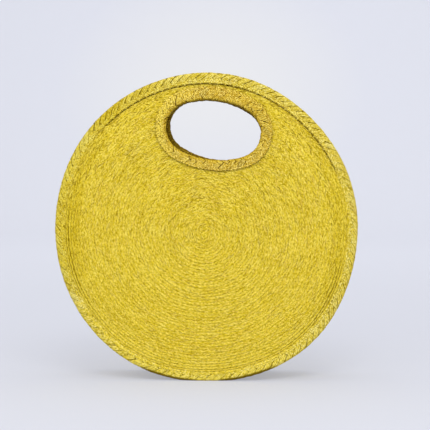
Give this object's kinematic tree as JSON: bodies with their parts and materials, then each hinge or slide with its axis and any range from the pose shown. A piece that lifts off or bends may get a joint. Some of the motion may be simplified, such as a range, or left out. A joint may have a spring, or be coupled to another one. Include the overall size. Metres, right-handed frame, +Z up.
{
  "type": "round plaited bag",
  "caption": "Round hand bag of spiral-sewn palm braid with oval hand holes, folded rim braids and a mouth that opens along the top.",
  "frame": {"origin": "on the ground, midway between the two round sides", "axes": "+Z up, -Y out of the front round side, +X to the right seen from the front"},
  "size_m": [0.4, 0.1018, 0.398],
  "materials": {
    "palm_panel": "spiral-sewn palm braid, dyed yellow",
    "palm_rim": "wide palm braid, dyed yellow, folded and sewn",
    "palm_handle": "palm braid, dyed yellow with undyed tan patches",
    "palm_side": "wide palm braid, dyed yellow, sewn edge to edge"
  },
  "bodies": {
    "back": {"back_panel": "palm_panel", "back_rim_braid": "palm_rim", "back_handle_braid": "palm_handle", "side_braid_front": "palm_side", "side_braid_back": "palm_side"},
    "front": {"front_panel": "palm_panel", "front_rim_braid": "palm_rim", "front_handle_braid": "palm_handle"}
  },
  "joints": [
    {"name": "mouth_opens", "type": "hinge", "parent": "back", "child": "front", "pos_m": [0, -0.048, 0], "axis": [1, 0, 0], "range_deg": [0, 6]}
  ]
}
